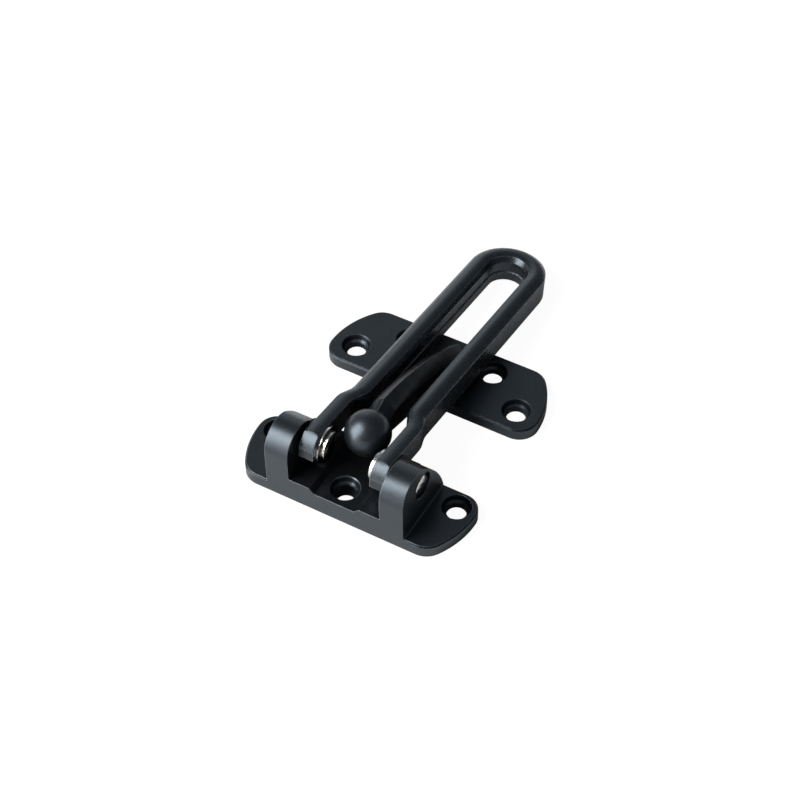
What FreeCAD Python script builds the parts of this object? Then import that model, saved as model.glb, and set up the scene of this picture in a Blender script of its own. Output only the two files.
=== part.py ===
"""Swing bar door guard: a hinge unit with its slotted swing bar, and the ball keeper that the bar closes over.

Both castings lie flat on the plane z = 0, as they do on a door and its frame. x runs along the pivot pins,
y from the front of the hinge unit towards the keeper, z away from the mounting plane. Millimetres.
The finished solids are moved along y, so that the origin lies straight below the pivot axis.
"""
import FreeCAD, Part
import math
import os
from FreeCAD import Vector

# Hinge base
BASE_DEPTH = 23.5
BASE_HALF_LENGTH = 36.0
BASE_PLATE = 3.9
BASE_CORNER = 5.8
BASE_SWEEP = 28.0
RAISED_FLOOR = 8.4
CHANNEL_FLOOR = 6.8
CHANNEL_HALF_WIDTH = 6.5
LUG_THICKNESS = 7.5
LUG_HEIGHT = 23.5
LUG_CROWN = 7.4
LUG_CROWN_TURN = 40.0
LUG_FOOT_FILLET = 0.6
BASE_HOLE_FROM_END = 6.3
BASE_HOLE_FROM_BACK = 5.6
CENTRE_HOLE_Y = 6.4

# Countersunk screw holes, for a 5.5 mm wood screw
SCREW_HOLE = 5.9
SCREW_HEAD = 9.0
COUNTERSINK_DEPTH = 2.2

# Pivot: axis height and place, pins, washers
PIN_Y = 11.6
PIN_Z = 15.5
PIN_RADIUS = 2.5
PIN_HEAD_RADIUS = 4.4
PIN_HEAD = 1.15
PIN_UPSET_RADIUS = 3.7
PIN_UPSET = 1.0
PIN_UPSET_TAPER = 0.6
UPSET_RECESS_DEPTH = 1.5
UPSET_RECESS_PLAY = 0.5
WASHER_RADIUS = 5.7
HEAD_WASHER = 0.7
SPACER_WASHER = 1.0
BORE_PLAY = 0.06
WASHER_BORE_PLAY = 0.1
SIDE_PLAY = 0.05

# Swing bar, in its own frame: u from the pivot axis to the tip, h away from the underside
BAR_LENGTH = 105.3
BAR_HALF_WIDTH = 12.1
SLOT_HALF_WIDTH = 5.9
BAR_UNDERSIDE = -2.1
BAR_EDGE = 5.3
BAR_CROWN = 1.4
BAR_ROLL = 0.9
SLOT_LIP = 0.35
SLOT_LIP_HEIGHT = 2.9
EYE_HALF_WIDTH = 13.8
EYE_THICKNESS = 4.6
EYE_RADIUS = 7.4
EYE_FLAT = 7.0
EYE_FLAT_TOP = 1.6
EYE_UNDERSIDE = -1.5
EYE_EDGE = 6.0
EYE_CROWN = 0.4
EYE_ROLL = 0.2
BOSS_RADIUS = 4.9
SHOULDER_START = 13.4
SHOULDER_END = 20.6
BAR_REST_GAP = 0.15
FLOOR_PLAY = 0.35

# Keeper
KEEPER_FRONT = 51.2
KEEPER_DEPTH = 24.8
KEEPER_HALF_LENGTH = 35.3
KEEPER_PLATE = 3.85
KEEPER_CORNER = 6.2
KEEPER_SWEEP = 26.0
KEEPER_FRONT_HOLE_FROM_END = 7.9
KEEPER_FRONT_HOLE_Y = 7.6
KEEPER_BACK_HOLE_X = 14.2
KEEPER_BACK_HOLE_FROM_BACK = 7.0
BALL_RADIUS = 6.9
BALL_Y = 19.6
BALL_Z = 17.3
ARM_WIDTH = 7.2
ARM_UNDERSIDE_WIDTH = 5.4
ARM_CROWN = 3.2
ARM_CROWN_BULGE = 0.35
ARM_TOP_Y = 30.5
ARM_TOP_Z = 22.7
ARM_BULGE = 2.7
ARM_NECK_RISE = 3.6
ARM_NECK_DROP = 4.6
ARM_NECK_BULGE = 0.8
ARM_ROOT_INSET = 1.2
ARM_ROOT_SINK = 0.2
ARM_LEAST_SIDE = 0.3
ARM_SECTIONS = 10

# Edges of both plates
END_BLEND = 6.6
PLATE_CHAMFER = 0.45


def arc_with_bulge(start, end, bulge):
    """Arc from start to end whose middle stands off the chord by bulge, to the left of the way it runs."""
    chord = end.sub(start)
    side = Vector(1, 0, 0).cross(chord)
    side.normalize()
    middle = start.add(end).multiply(0.5).add(side.multiply(bulge))
    return Part.Arc(start, middle, end).toShape()


def solid_between(edges, direction):
    """Closed outline of edges, extruded along direction."""
    return Part.Face(Part.Wire(Part.__sortEdges__(edges))).extrude(direction)


def edges_where(shape, test):
    """Edges of the shape whose bounding box passes the test."""
    return [edge for edge in shape.Edges if test(edge.BoundBox)]


def plate_outline(half_length, depth, corner, sweep):
    """Plate wire: straight long edge at y = depth with corner arcs, and ends that sweep in to y = 0."""
    corner_y = depth - corner
    sweep_x = half_length - sweep
    front_x = sweep_x + math.sqrt(sweep ** 2 - corner_y ** 2)
    half = math.sqrt(0.5)
    mid_angle = 0.5 * math.asin(corner_y / sweep)
    edges = []
    for side in (1, -1):
        widest = Vector(side * half_length, corner_y, 0)
        back = Vector(side * (half_length - corner), depth, 0)
        corner_mid = Vector(side * (half_length - corner + corner * half), corner_y + corner * half, 0)
        front = Vector(side * front_x, 0, 0)
        sweep_mid = Vector(side * (sweep_x + sweep * math.cos(mid_angle)),
                           corner_y - sweep * math.sin(mid_angle), 0)
        edges.append(Part.Arc(back, corner_mid, widest).toShape())
        edges.append(Part.Arc(widest, sweep_mid, front).toShape())
    back_x = half_length - corner
    edges.append(Part.makeLine(Vector(-back_x, depth, 0), Vector(back_x, depth, 0)))
    edges.append(Part.makeLine(Vector(-front_x, 0, 0), Vector(front_x, 0, 0)))
    return edges, front_x


def plate(half_length, depth, thickness, corner, sweep):
    """Flat plate with blended front corners and a chamfered top edge, its long edge at y = depth."""
    edges, front_x = plate_outline(half_length, depth, corner, sweep)
    body = solid_between(edges, Vector(0, 0, thickness))
    uprights = edges_where(body, lambda box: box.ZLength > 0.9 * thickness and box.XLength < 0.01
                           and abs(abs(box.XMin) - front_x) < 0.1 and box.YMax < 0.1)
    body = body.makeFillet(END_BLEND, uprights)
    return body.makeChamfer(PLATE_CHAMFER, edges_where(body, lambda box: box.ZMin > 0.99 * thickness))


def screw_hole(x, y, surface, cut_height):
    """Cutter for a countersunk through hole whose rim lies on the surface height."""
    shank = Part.makeCylinder(SCREW_HOLE / 2, surface + 2, Vector(x, y, -1))
    head = Part.makeCone(SCREW_HOLE / 2, SCREW_HEAD / 2, COUNTERSINK_DEPTH,
                         Vector(x, y, surface - COUNTERSINK_DEPTH))
    above = Part.makeCylinder(SCREW_HEAD / 2, cut_height - surface, Vector(x, y, surface))
    return shank.fuse([head, above])


def lug_gap_half():
    """Half of the gap between the lugs: the eye, the spacer washer and play on both of its sides."""
    return EYE_HALF_WIDTH + SPACER_WASHER + 2 * SIDE_PLAY


def lug():
    """Right lug: upright front, round crown, and one long sweep down to the back edge of the plate."""
    inner = lug_gap_half()
    crown_z = LUG_HEIGHT - LUG_CROWN
    turn = math.radians(LUG_CROWN_TURN)
    front_foot = Vector(inner, 0, 0)
    crown_start = Vector(inner, 0, crown_z)
    crown_mid = Vector(inner, LUG_CROWN * (1 - math.cos(math.pi / 4)), crown_z + LUG_CROWN * math.sin(math.pi / 4))
    crown_end = Vector(inner, LUG_CROWN * (1 + math.sin(turn)), crown_z + LUG_CROWN * math.cos(turn))
    back_top = Vector(inner, BASE_DEPTH, BASE_PLATE)
    back_foot = Vector(inner, BASE_DEPTH, 0)
    chord = back_top.sub(crown_end)
    half_turn = math.atan2(-chord.z, chord.y) - turn
    back_bulge = chord.Length / 2 * math.tan(half_turn / 2)
    edges = [
        Part.makeLine(front_foot, crown_start),
        Part.Arc(crown_start, crown_mid, crown_end).toShape(),
        arc_with_bulge(crown_end, back_top, back_bulge),
        Part.makeLine(back_top, back_foot),
        Part.makeLine(back_foot, front_foot),
    ]
    return solid_between(edges, Vector(LUG_THICKNESS, 0, 0))


def raised_floor():
    """Right half of the block between the lugs: a shallow channel along y, and a trough under the eye."""
    half = lug_gap_half()
    slope = RAISED_FLOOR - CHANNEL_FLOOR
    corners = [
        (0, 0), (0, CHANNEL_FLOOR), (CHANNEL_HALF_WIDTH, CHANNEL_FLOOR),
        (CHANNEL_HALF_WIDTH + slope, RAISED_FLOOR), (half, RAISED_FLOOR), (half, 0), (0, 0),
    ]
    outline = Part.makePolygon([Vector(x, 0, z) for x, z in corners])
    block = Part.Face(outline).extrude(Vector(0, BASE_DEPTH, 0))
    trough_width = EYE_THICKNESS + HEAD_WASHER + SPACER_WASHER
    trough = Part.makeCylinder(EYE_RADIUS + FLOOR_PLAY, trough_width, Vector(half - trough_width, PIN_Y, PIN_Z),
                               Vector(1, 0, 0))
    return block.cut(trough)


def lug_foot():
    """Concave fillet strip where the right lug's outer face stands on the plate."""
    outer = lug_gap_half() + LUG_THICKNESS
    length = BASE_DEPTH - 2 * PLATE_CHAMFER
    strip = Part.makeBox(LUG_FOOT_FILLET, length, LUG_FOOT_FILLET, Vector(outer, PLATE_CHAMFER, BASE_PLATE))
    hollow = Part.makeCylinder(LUG_FOOT_FILLET, length,
                               Vector(outer + LUG_FOOT_FILLET, PLATE_CHAMFER, BASE_PLATE + LUG_FOOT_FILLET),
                               Vector(0, 1, 0))
    beside_lug = lug()
    beside_lug.translate(Vector(LUG_FOOT_FILLET, 0, 0))
    return strip.cut(hollow).common(beside_lug)


def hinge_base():
    """Base casting: plate, raised floor, two lugs, pin bores with their recesses, three screw holes."""
    outer = lug_gap_half() + LUG_THICKNESS
    axis = Vector(1, 0, 0)
    base_plate = plate(BASE_HALF_LENGTH, BASE_DEPTH, BASE_PLATE, BASE_CORNER, BASE_SWEEP)
    right = [lug(), lug_foot(), raised_floor()]
    left = [mirrored(piece) for piece in right]
    body = base_plate.fuse(right + left).removeSplitter()
    bore = Part.makeCylinder(PIN_RADIUS + BORE_PLAY, 2 * outer + 2, Vector(-outer - 1, PIN_Y, PIN_Z), axis)
    recess = Part.makeCylinder(PIN_UPSET_RADIUS + UPSET_RECESS_PLAY, UPSET_RECESS_DEPTH + 1,
                               Vector(outer - UPSET_RECESS_DEPTH, PIN_Y, PIN_Z), axis)
    hole = screw_hole(BASE_HALF_LENGTH - BASE_HOLE_FROM_END, BASE_DEPTH - BASE_HOLE_FROM_BACK, BASE_PLATE,
                      LUG_HEIGHT)
    centre_hole = screw_hole(0, CENTRE_HOLE_Y, CHANNEL_FLOOR, LUG_HEIGHT)
    return body.cut([bore, recess, mirrored(recess), hole, mirrored(hole), centre_hole])


def mirrored(shape):
    """The same shape on the other side of the centre plane."""
    return shape.mirror(Vector(0, 0, 0), Vector(1, 0, 0))


def leg_section(u, inner, outer, underside=BAR_UNDERSIDE, edge=BAR_EDGE, crown=BAR_CROWN, roll=BAR_ROLL):
    """Wire across one leg of the bar at u: flat underside, upright sides, crowned top that rolls into the slot."""
    half = (outer - inner) / 2
    radius = (half ** 2 + crown ** 2) / (2 * crown)
    roll_height = edge + crown - radius + math.sqrt(radius ** 2 - (half - roll) ** 2)
    corners = [Vector(inner + roll, u, roll_height), Vector(inner, u, edge - roll), Vector(inner, u, underside),
               Vector(outer, u, underside), Vector(outer, u, edge)]
    top_middle = Vector((inner + outer) / 2, u, edge + crown)
    edges = [Part.makeLine(a, b) for a, b in zip(corners, corners[1:])]
    edges.append(Part.Arc(corners[-1], top_middle, corners[0]).toShape())
    return Part.Wire(edges)


def blend(start, end, share):
    """Smooth change from start to end as share goes from 0 to 1."""
    return start + (end - start) * share * share * (3 - 2 * share)


def shoulder():
    """Loft where a leg steps out from the slot to the wider pocket for the ball."""
    inner = EYE_HALF_WIDTH - EYE_THICKNESS
    sections = []
    for share in (0, 0.2, 0.4, 0.6, 0.8, 1):
        sections.append(leg_section(SHOULDER_START + (SHOULDER_END - SHOULDER_START) * share,
                                    blend(inner, SLOT_HALF_WIDTH, share),
                                    blend(EYE_HALF_WIDTH, BAR_HALF_WIDTH, share),
                                    blend(EYE_UNDERSIDE, BAR_UNDERSIDE, share),
                                    blend(EYE_EDGE, BAR_EDGE, share),
                                    blend(EYE_CROWN, BAR_CROWN, share),
                                    blend(EYE_ROLL, BAR_ROLL, share)))
    return Part.makeLoft(sections, True, True)


def eye():
    """End of a leg: round about the pivot, its lower front set back flat, with a small boss below."""
    inner = EYE_HALF_WIDTH - EYE_THICKNESS
    section = Part.Face(leg_section(-EYE_RADIUS, inner, EYE_HALF_WIDTH, EYE_UNDERSIDE, EYE_EDGE, EYE_CROWN,
                                    EYE_ROLL))
    slab = section.extrude(Vector(0, EYE_RADIUS + SHOULDER_START, 0))
    start = Vector(inner, 0, 0)
    axis = Vector(1, 0, 0)
    round_front = Part.makeCylinder(EYE_RADIUS, EYE_THICKNESS, start, axis)
    behind = Part.makeBox(EYE_THICKNESS, SHOULDER_START, 2 * EYE_RADIUS, Vector(inner, 0, -EYE_RADIUS))
    slab = slab.common(round_front.fuse(behind))
    beyond = Part.makeBox(EYE_THICKNESS, EYE_RADIUS, EYE_RADIUS + EYE_FLAT_TOP,
                          Vector(inner, -EYE_FLAT - EYE_RADIUS, -EYE_RADIUS))
    boss = Part.makeCylinder(BOSS_RADIUS, EYE_THICKNESS, start, axis)
    return slab.cut(beyond).fuse(boss)


def bar_rest_angle():
    """Turn in degrees that lets the tip of the bar down to its rest just above the mounting plane."""
    reach = math.hypot(BAR_LENGTH, BAR_UNDERSIDE)
    return math.degrees(math.asin((PIN_Z - BAR_REST_GAP) / reach) - math.atan2(-BAR_UNDERSIDE, BAR_LENGTH))


def slot_lip(end_u):
    """Thin lip round the lower part of the slot wall, where the two halves of the mould meet."""
    height = SLOT_LIP_HEIGHT
    outer = obround(SLOT_HALF_WIDTH + 1, SHOULDER_END, end_u, BAR_UNDERSIDE, height)
    inner = obround(SLOT_HALF_WIDTH - SLOT_LIP, SHOULDER_END, end_u, BAR_UNDERSIDE, height)
    return outer.cut(inner)


def obround(half_width, start_u, end_u, base_h, height):
    """Prism with straight sides from start_u and a half-round end about end_u."""
    sides = Part.makeBox(2 * half_width, end_u - start_u, height, Vector(-half_width, start_u, base_h))
    round_end = Part.makeCylinder(half_width, height, Vector(0, end_u, base_h))
    return sides.fuse(round_end)


def swing_bar():
    """U-shaped bar, turned down to its rest about the pivot axis."""
    end_u = BAR_LENGTH - BAR_HALF_WIDTH
    section = leg_section(SHOULDER_END, SLOT_HALF_WIDTH, BAR_HALF_WIDTH)
    leg = Part.Face(section).extrude(Vector(0, end_u - SHOULDER_END, 0))
    end_section = leg_section(end_u, SLOT_HALF_WIDTH, BAR_HALF_WIDTH)
    bend = Part.Face(end_section).revolve(Vector(0, end_u, 0), Vector(0, 0, 1), 180)
    side = leg.fuse([shoulder(), eye()])
    body = side.fuse([mirrored(side), bend, slot_lip(end_u)]).removeSplitter()
    bore = Part.makeCylinder(PIN_RADIUS + BORE_PLAY, 4 * EYE_HALF_WIDTH, Vector(-2 * EYE_HALF_WIDTH, 0, 0),
                             Vector(1, 0, 0))
    body = body.cut(bore)
    body.rotate(Vector(0, 0, 0), Vector(1, 0, 0), -bar_rest_angle())
    body.translate(Vector(0, PIN_Y, PIN_Z))
    return body


def arc_height(y, start, end, bulge):
    """Height at y on the arc between two (y, z) points whose middle stands above the chord by bulge."""
    width = end[0] - start[0]
    drop = end[1] - start[1]
    chord = math.hypot(width, drop)
    radius = (chord ** 2 / 4 + bulge ** 2) / (2 * bulge)
    centre_y = (start[0] + end[0]) / 2 + (radius - bulge) * drop / chord
    centre_z = (start[1] + end[1]) / 2 - (radius - bulge) * width / chord
    return centre_z + math.sqrt(radius ** 2 - (y - centre_y) ** 2)


def arm_section(y, top, underside):
    """Wire across the arm at y: flat underside, drawn-in sides, and a crown of two arcs that meet in a crest."""
    half = ARM_WIDTH / 2
    foot = ARM_UNDERSIDE_WIDTH / 2
    spring = max(top - ARM_CROWN, underside + ARM_LEAST_SIDE)
    crest = Vector(0, y, top)
    slant = math.hypot(half, top - spring)
    bulge_x = ARM_CROWN_BULGE * (top - spring) / slant
    bulge_z = ARM_CROWN_BULGE * half / slant
    middle_z = (top + spring) / 2 + bulge_z
    right = Part.Arc(crest, Vector(half / 2 + bulge_x, y, middle_z), Vector(half, y, spring)).toShape()
    left = Part.Arc(Vector(-half, y, spring), Vector(-half / 2 - bulge_x, y, middle_z), crest).toShape()
    lower = Part.makePolygon([Vector(half, y, spring), Vector(foot, y, underside),
                              Vector(-foot, y, underside), Vector(-half, y, spring)])
    return Part.Wire([right] + lower.Edges + [left])


def arm():
    """Arm of the keeper: a crested web, lofted from the whole plate depth to the neck of the ball."""
    neck_y = BALL_Y + BALL_RADIUS / 2
    root_y = KEEPER_FRONT + KEEPER_DEPTH - ARM_ROOT_INSET
    front_y = KEEPER_FRONT + ARM_ROOT_INSET
    neck_top = (neck_y, BALL_Z + ARM_NECK_RISE)
    neck_low = (neck_y, BALL_Z - ARM_NECK_DROP)
    summit = (ARM_TOP_Y, ARM_TOP_Z)
    sunk = KEEPER_PLATE / 4
    wires = []
    for index in range(ARM_SECTIONS):
        y = neck_y + (root_y - neck_y) * index / (ARM_SECTIONS - 1)
        if y < ARM_TOP_Y:
            top = arc_height(y, neck_top, summit, ARM_NECK_BULGE)
        else:
            top = arc_height(y, summit, (root_y, KEEPER_PLATE - ARM_ROOT_SINK), ARM_BULGE)
        slope = (neck_low[1] - KEEPER_PLATE) / (front_y - neck_y)
        underside = max(neck_low[1] - slope * (y - neck_y), sunk)
        wires.append(arm_section(y, top, underside))
    return Part.makeLoft(wires, True, True)


def ball_keeper():
    """Keeper casting: plate, arm and ball, with two screw holes at the front and two at the back."""
    base_plate = plate(KEEPER_HALF_LENGTH, KEEPER_DEPTH, KEEPER_PLATE, KEEPER_CORNER, KEEPER_SWEEP)
    base_plate.rotate(Vector(0, 0, 0), Vector(0, 0, 1), 180)
    base_plate.translate(Vector(0, KEEPER_FRONT + KEEPER_DEPTH, 0))
    ball = Part.makeSphere(BALL_RADIUS, Vector(0, BALL_Y, BALL_Z))
    body = base_plate.fuse([arm(), ball]).removeSplitter()
    front_hole = screw_hole(KEEPER_HALF_LENGTH - KEEPER_FRONT_HOLE_FROM_END, KEEPER_FRONT + KEEPER_FRONT_HOLE_Y,
                            KEEPER_PLATE, LUG_HEIGHT)
    back_hole = screw_hole(KEEPER_BACK_HOLE_X, KEEPER_FRONT + KEEPER_DEPTH - KEEPER_BACK_HOLE_FROM_BACK,
                           KEEPER_PLATE, LUG_HEIGHT)
    return body.cut([front_hole, mirrored(front_hole), back_hole, mirrored(back_hole)])


def pivot_pin():
    """Right rivet pin: flat head inside the leg, shank through leg and lug, upset end in the lug's recess."""
    axis = Vector(1, 0, 0)
    under_head = EYE_HALF_WIDTH - EYE_THICKNESS - HEAD_WASHER - 2 * SIDE_PLAY
    seat = lug_gap_half() + LUG_THICKNESS - UPSET_RECESS_DEPTH
    head = Part.makeCylinder(PIN_HEAD_RADIUS, PIN_HEAD, Vector(under_head - PIN_HEAD, PIN_Y, PIN_Z), axis)
    shank = Part.makeCylinder(PIN_RADIUS, seat - under_head, Vector(under_head, PIN_Y, PIN_Z), axis)
    upset = Part.makeCone(PIN_UPSET_RADIUS, PIN_UPSET_RADIUS - PIN_UPSET_TAPER, PIN_UPSET,
                          Vector(seat, PIN_Y, PIN_Z), axis)
    return head.fuse([shank, upset])


def washer(start, thickness):
    """Flat washer on the right pin, its inner face at x = start."""
    axis = Vector(1, 0, 0)
    centre = Vector(start, PIN_Y, PIN_Z)
    disc = Part.makeCylinder(WASHER_RADIUS, thickness, centre, axis)
    return disc.cut(Part.makeCylinder(PIN_RADIUS + WASHER_BORE_PLAY, thickness, centre, axis))


def build():
    """Every node of the door guard by its name."""
    pin = pivot_pin()
    head_washer = washer(EYE_HALF_WIDTH - EYE_THICKNESS - HEAD_WASHER - SIDE_PLAY, HEAD_WASHER)
    spacer = washer(EYE_HALF_WIDTH + SIDE_PLAY, SPACER_WASHER)
    return {
        "hinge_base": hinge_base(),
        "swing_bar": swing_bar(),
        "ball_keeper": ball_keeper(),
        "pivot_pin_right": pin,
        "pivot_pin_left": mirrored(pin),
        "head_washer_right": head_washer,
        "head_washer_left": mirrored(head_washer),
        "spacer_washer_right": spacer,
        "spacer_washer_left": mirrored(spacer),
    }


os.makedirs("parts", exist_ok=True)
for name, shape in build().items():
    solid = shape.Solids[0]
    solid.translate(Vector(0, -PIN_Y, 0))
    solid.exportStep("parts/" + name + ".step")
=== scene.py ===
"""Looks of the swing bar door guard: satin black lacquer on cast zinc, bright rivet pins and washers."""

from collections import namedtuple
import math

import bpy
from mathutils import Matrix, Vector

MM = 0.001
WHITE = (1.0, 1.0, 1.0)

# The photograph's view
CAMERA_AZIMUTH = 30.3885
CAMERA_ELEVATION = 47.6333
CAMERA_ROLL = -0.8733
CAMERA_DISTANCE = 598.44 * MM
CAMERA_TARGET = Vector((-6.328, 37.029, 0.0)) * MM
CAMERA_LENS = 90.0
CAMERA_SENSOR = 36.0
CAMERA_CLIP = 10 * MM

# Height of the pivot axis above the mounting plane
PIVOT_Z = 15.5 * MM

# Screw holes: axes in the mounting plane, in mm, and the radius of their countersinks
BASE_SCREWS = ((-29.7, 6.3), (29.7, 6.3), (0, -5.2))
KEEPER_SCREWS = ((-27.4, 47.2), (27.4, 47.2), (-14.2, 57.4), (14.2, 57.4))
COUNTERSINK_RADIUS = 4.5 * MM

# Range in which most of a noise's values lie
NOISE_LOW = 0.3
NOISE_HIGH = 0.7

# Lacquer: its mottled colour and its gloss
LACQUER_DARK = (0.0005, 0.0007, 0.001)
LACQUER_LIGHT = (0.010, 0.012, 0.0145)
LACQUER_IOR = 1.8
LACQUER_TINT = (0.72, 0.86, 1.0)
PLAIN_GLOSS = 0.5

# Painted highlight along its edges: its pale grey, and the share of it where the surface swells least
LACQUER_EDGE_HIGHLIGHT = (0.27, 0.28, 0.29)
LEAST_EDGE_HIGHLIGHT = 0.4

# Cosine between an edge's rounded and plain normals where the painted edge highlight is full, and where it
# ends
EDGE_HIGHLIGHT_FULL = 0.90
EDGE_HIGHLIGHT_END = 0.985

# Specular level painted over a countersink, by share of its radius, in rings of painted highlight and
# painted shade: dull bore, bright seat, dull wall, bright rim, plain face
COUNTERSINK_PAINTED_REFLECTION = (
    (0.0, 0.08), (0.66, 0.08),
    (0.70, 0.7), (0.78, 0.7),
    (0.82, 0.05), (0.93, 0.05),
    (0.97, 0.8), (1.0, 1.0),
    (1.0, PLAIN_GLOSS),
)

# Grain of the lacquered castings: cells per metre, the clouds' share of the mottling, and the bumps
CLOUD_CELLS = 160
SPECK_CELLS = 2000
SWELL_CELLS = 420
STREAK_CELLS = 3400
STREAK_SQUEEZE = 0.05
CLOUD_SHARE = 0.3
SPECK_DEPTH = 0.016 * MM
SWELL_DEPTH = 0.02 * MM
STREAK_DEPTH = 0.008 * MM
SWELL_STRENGTH = 0.6
STREAK_STRENGTH = 0.8
SPECK_STRENGTH = 0.8

# Channel of the base casting, where its reflections are dimmed and its edge highlight is faint as painted
# shade: limits to the sides, along and upwards, and the room left round its screw hole
CHANNEL_X = 15 * MM
CHANNEL_Y = (-11.2 * MM, 12 * MM)
CHANNEL_Z = (4 * MM, 8.8 * MM)
CHANNEL_HOLE = (4.4 * MM, 4.6 * MM)

# Arm of the keeper, where its reflections are dimmed as painted shade and the painted edge highlight is
# full: where it fades in behind the ball and above the plate
ARM_Y = (10 * MM, 14 * MM)
ARM_Z = (4.4 * MM, 6.4 * MM)

# Chamfer round the top of both plates, and the share of reflection that it keeps: painted shade over its
# highlight
CHAMFER_Z = (3.5 * MM, 3.8 * MM)
CHAMFER_FADE = 0.1 * MM
CHAMFER_PAINTED_REFLECTION = 0.3

# Plated steel: cells of its stains, scratches and dents per metre, and how dark the stains are
STAIN_CELLS = 700
SCRATCH_CELLS = 5200
DENT_CELLS = 1300
STAIN_LEVEL = 0.72
DENT_STRENGTH = 0.8

# Painted shade on the inner faces of pins and washers, which look into the dark between the legs: a dark
# colour in place of what they reflect
INNER_SHADE_COLOUR = (0.058, 0.055, 0.052)
INNER_FACING = (0.6, 0.9)
INNER_X = (11 * MM, 12 * MM)

# Turned rings on pins and washers; at scale 1 the wave texture turns 20 radians in a metre
RING_PITCH = 0.25 * MM
RING_DEPTH = 0.01 * MM
RING_STRENGTH = 0.6
RING_DISTORTION = 1.2
WAVE_RADIANS = 20

# Formed ends of the pins, which look domed
UPSET_RADIUS = 3.7 * MM
DOME_POWER = 3.0
DOME_STRENGTH = 1.0

# White table: what the camera sees of it is mostly glow, with a share of its real light for the shadow
TABLE_RADIUS = 6.0
TABLE_DROP = 0.02 * MM
TABLE_GLOW = 0.95
TABLE_SHADOW = 0.14

# Its paper, which lights the guard: painted shade under the bar, where the paper is darker round axes given
# in mm, and bright from there outwards
SHADED_AXES = ((-3, 28), (-3, 18))
SHADED_PAPER = 0.08
OPEN_PAPER = 0.80
SHADED_REACH = (12 * MM, 30 * MM)

# Glow of the far table in mirror-like faces, by distance from its middle
TABLE_MIDDLE = ((0, 0),)
FAR_GLOW = 0.85
FAR_REACH = (60 * MM, 300 * MM)

# Studio: levels of its light by the cosine of the angle from the bright patch, whose middle is white
ROOM_LEVELS = ((0.0, 0.14), (0.45, 0.12), (0.75, 0.15), (0.88, 0.20), (0.94, 0.30), (0.98, 0.70))
ROOM_COLOUR = (0.90, 0.96, 1.0)
PATCH_DIRECTION = Vector((-0.55, 0.75, 0.35))

# Key lamp: a tall softbox at the front left
KEY_DIRECTION = Vector((-0.612, -0.612, 0.50))
KEY_TARGET = Vector((0, 25, 10)) * MM
KEY_DISTANCE = 1.0
KEY_WIDTH = 0.73
KEY_HEIGHT = 1.20
KEY_POWER = 22.0
KEY_COLOUR = (1.0, 0.98, 0.95)

# Finish of a plate casting: its screws, the mask of a zone whose reflections are dimmed as painted shade,
# the share of reflection that the zone keeps, the painted edge highlight outside and inside it, and the
# distance from the middle at which the chamfer's painted shade starts
PlateFinish = namedtuple("PlateFinish", "screws zone zone_gloss wear chamfer_start")


def node(tree, kind, **properties):
    """Adds a node and sets its properties."""
    made = tree.nodes.new(kind)
    for name, value in properties.items():
        setattr(made, name, value)
    return made


def noise(tree, coordinates, cells, detail, roughness=0.5):
    """Noise over the object's own coordinates, in cells per metre."""
    made = node(tree, "ShaderNodeTexNoise")
    made.inputs["Scale"].default_value = cells
    made.inputs["Detail"].default_value = detail
    made.inputs["Roughness"].default_value = roughness
    tree.links.new(coordinates, made.inputs["Vector"])
    return made.outputs["Fac"]


def arithmetic(tree, operation, first, second):
    """Result of an operation on two sockets or numbers."""
    made = node(tree, "ShaderNodeMath", operation=operation)
    for socket, value in zip(made.inputs, (first, second)):
        if isinstance(value, (int, float)):
            socket.default_value = value
        else:
            tree.links.new(value, socket)
    return made.outputs["Value"]


def product(tree, first, *others):
    """Product of several sockets or numbers."""
    result = first
    for other in others:
        result = arithmetic(tree, "MULTIPLY", result, other)
    return result


def spread(tree, value, low, high, start=NOISE_LOW, end=NOISE_HIGH):
    """Maps a value from start..end to low..high."""
    made = node(tree, "ShaderNodeMapRange")
    made.inputs["From Min"].default_value = start
    made.inputs["From Max"].default_value = end
    made.inputs["To Min"].default_value = low
    made.inputs["To Max"].default_value = high
    tree.links.new(value, made.inputs["Value"])
    return made.outputs["Result"]


def rise(tree, value, start, end):
    """0 up to start, 1 from end on."""
    return spread(tree, value, 0.0, 1.0, start, end)


def fall(tree, value, start, end):
    """1 up to start, 0 from end on."""
    return spread(tree, value, 1.0, 0.0, start, end)


def between(tree, value, low, high, soft):
    """1 where a value lies between two limits, 0 outside."""
    return product(tree, rise(tree, value, low - soft, low), fall(tree, value, high, high + soft))


def by_zone(tree, mask, outside, inside):
    """One level outside a zone and another inside it."""
    return spread(tree, mask, outside, inside, 0.0, 1.0)


def axes_of(tree, vector):
    """The X, Y and Z of a vector."""
    made = node(tree, "ShaderNodeSeparateXYZ")
    tree.links.new(vector, made.inputs["Vector"])
    return made.outputs


def bump(tree, height, distance, strength, normal):
    """Bump of a real height, on top of another normal."""
    made = node(tree, "ShaderNodeBump")
    made.inputs["Distance"].default_value = distance
    made.inputs["Strength"].default_value = strength
    tree.links.new(height, made.inputs["Height"])
    tree.links.new(normal, made.inputs["Normal"])
    return made.outputs["Normal"]


def rounded(tree, radius):
    """Normal of edges rounded by radius."""
    made = node(tree, "ShaderNodeBevel", samples=6)
    made.inputs["Radius"].default_value = radius
    return made.outputs["Normal"]


def edge_mask(tree, edge_normal):
    """1 along the edges, 0 on the faces, from the normal of the rounded edges."""
    alike = node(tree, "ShaderNodeVectorMath", operation="DOT_PRODUCT")
    tree.links.new(edge_normal, alike.inputs[0])
    tree.links.new(node(tree, "ShaderNodeNewGeometry").outputs["Normal"], alike.inputs[1])
    return fall(tree, alike.outputs["Value"], EDGE_HIGHLIGHT_FULL, EDGE_HIGHLIGHT_END)


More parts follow.
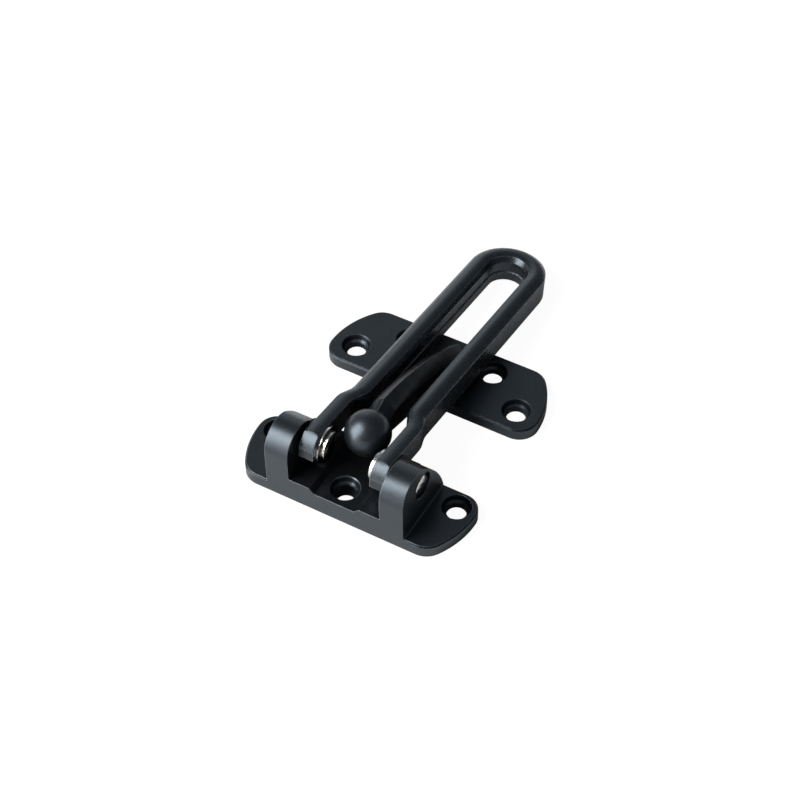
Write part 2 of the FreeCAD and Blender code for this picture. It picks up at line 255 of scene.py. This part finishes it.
def empty_material(name):
    """A material with its tree, its output's surface socket and object coordinates, and no shader."""
    material = bpy.data.materials.new(name)
    material.use_nodes = True
    tree = material.node_tree
    tree.nodes.clear()
    surface = node(tree, "ShaderNodeOutputMaterial").inputs["Surface"]
    coordinates = node(tree, "ShaderNodeTexCoord").outputs["Object"]
    return material, tree, surface, coordinates


def coated_material(name):
    """A material with its tree, a principled shader and object coordinates."""
    material, tree, surface, coordinates = empty_material(name)
    shader = node(tree, "ShaderNodeBsdfPrincipled")
    tree.links.new(shader.outputs["BSDF"], surface)
    return material, tree, shader, coordinates


def tinted(levels, colour):
    """Colour ramp stops of one colour at several levels."""
    return [(position, tuple(level * c for c in colour)) for position, level in levels]


def ramp(tree, value, stops):
    """Colour by value, from stops of a position and a colour; the ramp's own two are first and last."""
    made = node(tree, "ShaderNodeValToRGB")
    elements = made.color_ramp.elements
    for position, _ in stops[1:-1]:
        elements.new(position)
    for element, (position, colour) in zip(elements, stops):
        element.position = position
        element.color = (*colour, 1)
    tree.links.new(value, made.inputs["Fac"])
    return made.outputs["Color"]


def mix(tree, factor, first, second):
    """Goes from a socket's colour to a plain one by factor."""
    made = node(tree, "ShaderNodeMix", data_type="RGBA")
    made.inputs["B"].default_value = (*second, 1)
    tree.links.new(factor, made.inputs["Factor"])
    tree.links.new(first, made.inputs["A"])
    return made.outputs["Result"]


def near_axes(tree, coordinates, centres):
    """Distance in the mounting plane from the nearest of several upright axes, given in mm."""
    flat = node(tree, "ShaderNodeMapping")
    flat.inputs["Scale"].default_value = (1, 1, 0)
    tree.links.new(coordinates, flat.inputs["Vector"])
    nearest = None
    for x, y in centres:
        away = node(tree, "ShaderNodeVectorMath", operation="DISTANCE")
        tree.links.new(flat.outputs["Vector"], away.inputs[0])
        away.inputs[1].default_value = (x * MM, y * MM, 0)
        distance = away.outputs["Value"]
        nearest = distance if nearest is None else arithmetic(tree, "MINIMUM", nearest, distance)
    return nearest


def channel_zone(tree, coordinates):
    """1 in the base casting's channel, clear of its screw hole, 0 elsewhere."""
    place = axes_of(tree, coordinates)
    across = between(tree, place["X"], -CHANNEL_X, CHANNEL_X, soft=0.4 * MM)
    along = between(tree, place["Y"], *CHANNEL_Y, soft=0.3 * MM)
    upwards = between(tree, place["Z"], *CHANNEL_Z, soft=0.6 * MM)
    off_hole = rise(tree, near_axes(tree, coordinates, BASE_SCREWS[2:]), *CHANNEL_HOLE)
    return product(tree, across, along, upwards, off_hole)


def arm_zone(tree, coordinates):
    """1 on the keeper's arm, 0 on its plate and ball."""
    place = axes_of(tree, coordinates)
    return product(tree, rise(tree, place["Y"], *ARM_Y), rise(tree, place["Z"], *ARM_Z))


def chamfer_zone(tree, coordinates, start):
    """1 on the chamfer round the top of a plate, from start outwards along X, 0 elsewhere."""
    place = axes_of(tree, coordinates)
    outwards = arithmetic(tree, "ABSOLUTE", place["X"], 0.0)
    beyond = rise(tree, outwards, start - CHAMFER_FADE, start)
    return product(tree, beyond, between(tree, place["Z"], *CHAMFER_Z, soft=0.04 * MM))


def plate_painted_reflection(tree, coordinates, plate, inside):
    """Specular level painted over a plate casting: rings of painted highlight and shade over the
    countersinks, and painted shade over the chamfers and a zone.
    """
    share = arithmetic(tree, "DIVIDE", near_axes(tree, coordinates, plate.screws), COUNTERSINK_RADIUS)
    countersinks = ramp(tree, share, tinted(COUNTERSINK_PAINTED_REFLECTION, WHITE))
    chamfer = chamfer_zone(tree, coordinates, plate.chamfer_start)
    return product(tree, countersinks, by_zone(tree, chamfer, 1.0, CHAMFER_PAINTED_REFLECTION),
                   by_zone(tree, inside, 1.0, plate.zone_gloss))


def cast_normal(tree, coordinates, edge_radius, swell, speck):
    """Normal of a lacquered casting: rounded edges, slow swells, fine upright streaks and specks."""
    upright = node(tree, "ShaderNodeMapping")
    upright.inputs["Scale"].default_value = (1, 1, STREAK_SQUEEZE)
    tree.links.new(coordinates, upright.inputs["Vector"])
    streak = noise(tree, upright.outputs["Vector"], STREAK_CELLS, detail=2)
    normal = rounded(tree, edge_radius)
    normal = bump(tree, swell, SWELL_DEPTH, SWELL_STRENGTH, normal)
    normal = bump(tree, streak, STREAK_DEPTH, STREAK_STRENGTH, normal)
    return bump(tree, speck, SPECK_DEPTH, SPECK_STRENGTH, normal)


def lacquer(name, roughness, edge_radius, edge_highlight_width, plate=None):
    """Satin black lacquer over a cast surface, with a pale grey highlight painted along its edges."""
    material, tree, shader, coordinates = coated_material(name)
    cloud = noise(tree, coordinates, CLOUD_CELLS, detail=3)
    speck = noise(tree, coordinates, SPECK_CELLS, detail=2, roughness=0.6)
    swell = noise(tree, coordinates, SWELL_CELLS, detail=2)
    grain = arithmetic(tree, "ADD", product(tree, cloud, CLOUD_SHARE), product(tree, speck, 1 - CLOUD_SHARE))
    # Painted highlight: pale grey along the edges, less where the surface swells least
    highlighted_edges = product(tree, edge_mask(tree, rounded(tree, edge_highlight_width)), spread(tree, swell, LEAST_EDGE_HIGHLIGHT, 1.0))
    if plate:
        inside = plate.zone(tree, coordinates)
        # The painted edge highlight takes one share outside the zone and another inside it
        highlighted_edges = product(tree, highlighted_edges, by_zone(tree, inside, *plate.wear))
        # Painted highlight and shade in the specular level
        painted_reflection = plate_painted_reflection(tree, coordinates, plate, inside)
        tree.links.new(painted_reflection, shader.inputs["Specular IOR Level"])
    mottled = ramp(tree, grain, ((NOISE_LOW, LACQUER_DARK), (NOISE_HIGH, LACQUER_LIGHT)))
    # Mottled black lacquer with the painted edge highlight mixed in
    tree.links.new(mix(tree, highlighted_edges, mottled, LACQUER_EDGE_HIGHLIGHT), shader.inputs["Base Color"])
    tree.links.new(spread(tree, speck, *roughness), shader.inputs["Roughness"])
    shader.inputs["IOR"].default_value = LACQUER_IOR
    shader.inputs["Specular Tint"].default_value = (*LACQUER_TINT, 1)
    normal = cast_normal(tree, coordinates, edge_radius, swell, speck)
    tree.links.new(normal, shader.inputs["Normal"])
    return material


def shaded_inner_faces(tree, coordinates):
    """Mask of the painted shade: 1 on faces that look sideways between the legs, 0 elsewhere."""
    facing = axes_of(tree, node(tree, "ShaderNodeTexCoord").outputs["Normal"])
    sideways = arithmetic(tree, "ABSOLUTE", facing["X"], 0.0)
    outwards = arithmetic(tree, "ABSOLUTE", axes_of(tree, coordinates)["X"], 0.0)
    return product(tree, rise(tree, sideways, *INNER_FACING), fall(tree, outwards, *INNER_X))


def turned_rings(tree, from_axis):
    """Fine rings round the pivot axis."""
    made = node(tree, "ShaderNodeTexWave", wave_type="RINGS", rings_direction="X", wave_profile="SIN")
    made.inputs["Scale"].default_value = 2 * math.pi / (RING_PITCH * WAVE_RADIANS)
    made.inputs["Distortion"].default_value = RING_DISTORTION
    made.inputs["Detail"].default_value = 2
    tree.links.new(from_axis, made.inputs["Vector"])
    return made.outputs["Fac"]


def dome(tree, from_axis):
    """Height of a formed pin end: 1 on the pivot axis, falling off to 0 at its rim."""
    across = node(tree, "ShaderNodeVectorMath", operation="MULTIPLY")
    across.inputs[1].default_value = (0, 1, 1)
    tree.links.new(from_axis, across.inputs[0])
    radius = node(tree, "ShaderNodeVectorMath", operation="LENGTH")
    tree.links.new(across.outputs["Vector"], radius.inputs[0])
    share = arithmetic(tree, "DIVIDE", radius.outputs["Value"], UPSET_RADIUS)
    return arithmetic(tree, "SUBTRACT", 1.0, arithmetic(tree, "POWER", share, DOME_POWER))


def steel(name, colour, roughness, edge_radius, dent_depth, dome_depth=0.0):
    """Plated steel turned about the pivot axis: stains, painted shade on faces that look between the legs,
    dents, fine rings, domed ends.
    """
    material, tree, shader, coordinates = coated_material(name)
    shader.inputs["Metallic"].default_value = 1.0
    stain = noise(tree, coordinates, STAIN_CELLS, detail=3)
    plated = ramp(tree, stain, tinted(((NOISE_LOW, STAIN_LEVEL), (NOISE_HIGH, 1.0)), colour))
    # Painted shade: faces that look sideways between the legs are darkened in place of their reflection
    inner_shade = shaded_inner_faces(tree, coordinates)
    tree.links.new(mix(tree, inner_shade, plated, INNER_SHADE_COLOUR), shader.inputs["Base Color"])
    scratch = noise(tree, coordinates, SCRATCH_CELLS, detail=2, roughness=0.7)
    tree.links.new(spread(tree, scratch, *roughness), shader.inputs["Roughness"])
    centred = node(tree, "ShaderNodeMapping")
    centred.inputs["Location"].default_value = (0, 0, -PIVOT_Z)
    tree.links.new(coordinates, centred.inputs["Vector"])
    from_axis = centred.outputs["Vector"]
    dent = noise(tree, coordinates, DENT_CELLS, detail=2)
    normal = rounded(tree, edge_radius)
    if dome_depth:
        normal = bump(tree, dome(tree, from_axis), dome_depth, DOME_STRENGTH, normal)
    normal = bump(tree, dent, dent_depth, DENT_STRENGTH, normal)
    normal = bump(tree, turned_rings(tree, from_axis), RING_DEPTH, RING_STRENGTH, normal)
    tree.links.new(normal, shader.inputs["Normal"])
    return material


def dress(nodes):
    """Gives every CAD node its finish."""
    # Painted light and shade on the plates: the share of reflection kept in the channel and on the arm, and
    # the share of the painted edge highlight outside and inside them
    base_plate = PlateFinish(screws=BASE_SCREWS, zone=channel_zone, zone_gloss=0.25, wear=(1.0, 0.2),
                             chamfer_start=22.5 * MM)
    keeper_plate = PlateFinish(screws=KEEPER_SCREWS, zone=arm_zone, zone_gloss=0.4, wear=(0.2, 1.0),
                               chamfer_start=0.0)
    base = lacquer("base_lacquer", roughness=(0.28, 0.40), edge_radius=0.35 * MM, edge_highlight_width=0.22 * MM,
                   plate=base_plate)
    bar = lacquer("bar_lacquer", roughness=(0.25, 0.35), edge_radius=0.35 * MM, edge_highlight_width=0.45 * MM)
    keeper = lacquer("keeper_lacquer", roughness=(0.33, 0.43), edge_radius=0.30 * MM, edge_highlight_width=0.25 * MM,
                     plate=keeper_plate)
    pin = steel("pin_plating", colour=(0.97, 0.95, 0.93), roughness=(0.14, 0.24), edge_radius=0.20 * MM,
                dent_depth=0.24 * MM, dome_depth=2.4 * MM)
    washer = steel("washer_plating", colour=(0.98, 0.98, 0.97), roughness=(0.14, 0.22),
                   edge_radius=0.12 * MM, dent_depth=0.03 * MM)
    spacer = steel("spacer_blackening", colour=(0.030, 0.030, 0.032), roughness=(0.35, 0.50),
                   edge_radius=0.12 * MM, dent_depth=0.05 * MM)
    finishes = {
        "hinge_base": base, "swing_bar": bar, "ball_keeper": keeper,
        "pivot_pin_right": pin, "pivot_pin_left": pin,
        "head_washer_right": washer, "head_washer_left": washer,
        "spacer_washer_right": spacer, "spacer_washer_left": spacer,
    }
    for name, finish in finishes.items():
        nodes[name].material_slots[0].material = finish


def table_finish():
    """White to the camera but for a faint shadow, lit paper with painted shade under the bar round the guard
    to all else.
    """
    material, tree, surface, coordinates = empty_material("white_table")
    path = node(tree, "ShaderNodeLightPath").outputs
    seen = path["Is Camera Ray"]
    mirrored = arithmetic(tree, "MAXIMUM", path["Is Glossy Ray"], path["Is Transmission Ray"])
    from_bar = near_axes(tree, coordinates, SHADED_AXES)
    # Painted shade: the paper is darker under the bar
    paper_with_painted_shade = spread(tree, from_bar, SHADED_PAPER, OPEN_PAPER, *SHADED_REACH)
    far = spread(tree, near_axes(tree, coordinates, TABLE_MIDDLE), 0.0, FAR_GLOW, *FAR_REACH)
    paper = node(tree, "ShaderNodeBsdfDiffuse")
    unseen = arithmetic(tree, "SUBTRACT", 1.0, seen)
    albedo = arithmetic(tree, "ADD", product(tree, unseen, paper_with_painted_shade), product(tree, seen, TABLE_SHADOW))
    tree.links.new(albedo, paper.inputs["Color"])
    glow = node(tree, "ShaderNodeEmission")
    glow.inputs["Color"].default_value = (*WHITE, 1)
    strength = arithmetic(tree, "ADD", product(tree, seen, TABLE_GLOW), product(tree, mirrored, far))
    tree.links.new(strength, glow.inputs["Strength"])
    both = node(tree, "ShaderNodeAddShader")
    tree.links.new(paper.outputs["BSDF"], both.inputs[0])
    tree.links.new(glow.outputs["Emission"], both.inputs[1])
    tree.links.new(both.outputs["Shader"], surface)
    return material


def floor():
    """The white table that the guard lies on."""
    bpy.ops.mesh.primitive_circle_add(vertices=96, radius=TABLE_RADIUS, fill_type="NGON",
                                      location=(0, 0, -TABLE_DROP))
    table = bpy.context.object
    table.name = "floor"
    table.data.materials.append(table_finish())


def room():
    """Studio: dim, with a soft bright patch behind on the left."""
    world = bpy.data.worlds.new("studio")
    bpy.context.scene.world = world
    world.use_nodes = True
    tree = world.node_tree
    tree.nodes.clear()
    towards = node(tree, "ShaderNodeVectorMath", operation="DOT_PRODUCT")
    towards.inputs[1].default_value = PATCH_DIRECTION.normalized()
    tree.links.new(node(tree, "ShaderNodeTexCoord").outputs["Generated"], towards.inputs[0])
    light = ramp(tree, towards.outputs["Value"], tinted(ROOM_LEVELS, ROOM_COLOUR) + [(1.0, WHITE)])
    background = node(tree, "ShaderNodeBackground")
    tree.links.new(light, background.inputs["Color"])
    output = node(tree, "ShaderNodeOutputWorld")
    tree.links.new(background.outputs["Background"], output.inputs["Surface"])


def key_lamp():
    """One tall soft lamp at the front left, which looks at the guard."""
    light = bpy.data.lights.new("key", "AREA")
    light.shape = "RECTANGLE"
    light.size = KEY_WIDTH
    light.size_y = KEY_HEIGHT
    light.energy = KEY_POWER
    light.color = KEY_COLOUR
    lamp = bpy.data.objects.new("key", light)
    bpy.context.scene.collection.objects.link(lamp)
    towards_lamp = KEY_DIRECTION.normalized()
    lamp.location = KEY_TARGET + towards_lamp * KEY_DISTANCE
    lamp.rotation_euler = towards_lamp.to_track_quat("Z", "Y").to_euler()


def view_axes():
    """Right, up and back of the photograph's view."""
    azimuth = math.radians(CAMERA_AZIMUTH)
    elevation = math.radians(CAMERA_ELEVATION)
    roll = math.radians(CAMERA_ROLL)
    back = Vector((math.sin(azimuth) * math.cos(elevation), -math.cos(azimuth) * math.cos(elevation),
                   math.sin(elevation)))
    level_right = Vector((math.cos(azimuth), math.sin(azimuth), 0))
    level_up = back.cross(level_right)
    right = level_right * math.cos(roll) + level_up * math.sin(roll)
    up = level_up * math.cos(roll) - level_right * math.sin(roll)
    return right, up, back


def camera():
    """The photograph's camera."""
    lens = bpy.data.cameras.new("photograph")
    lens.lens = CAMERA_LENS
    lens.sensor_width = CAMERA_SENSOR
    lens.sensor_fit = "HORIZONTAL"
    lens.clip_start = CAMERA_CLIP
    view = bpy.data.objects.new("photograph", lens)
    bpy.context.scene.collection.objects.link(view)
    right, up, back = view_axes()
    place = CAMERA_TARGET + back * CAMERA_DISTANCE
    view.matrix_world = Matrix((
        (right.x, up.x, back.x, place.x),
        (right.y, up.y, back.y, place.y),
        (right.z, up.z, back.z, place.z),
        (0, 0, 0, 1),
    ))
    bpy.context.scene.camera = view


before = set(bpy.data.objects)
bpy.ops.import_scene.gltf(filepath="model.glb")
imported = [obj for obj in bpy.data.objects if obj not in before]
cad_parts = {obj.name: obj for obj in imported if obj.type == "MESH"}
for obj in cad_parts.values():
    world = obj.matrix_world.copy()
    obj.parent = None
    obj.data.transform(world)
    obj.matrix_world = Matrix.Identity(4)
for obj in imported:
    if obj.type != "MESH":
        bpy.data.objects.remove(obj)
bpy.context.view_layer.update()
bpy.context.scene.view_settings.view_transform = "Standard"
dress(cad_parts)
floor()
room()
key_lamp()
camera()
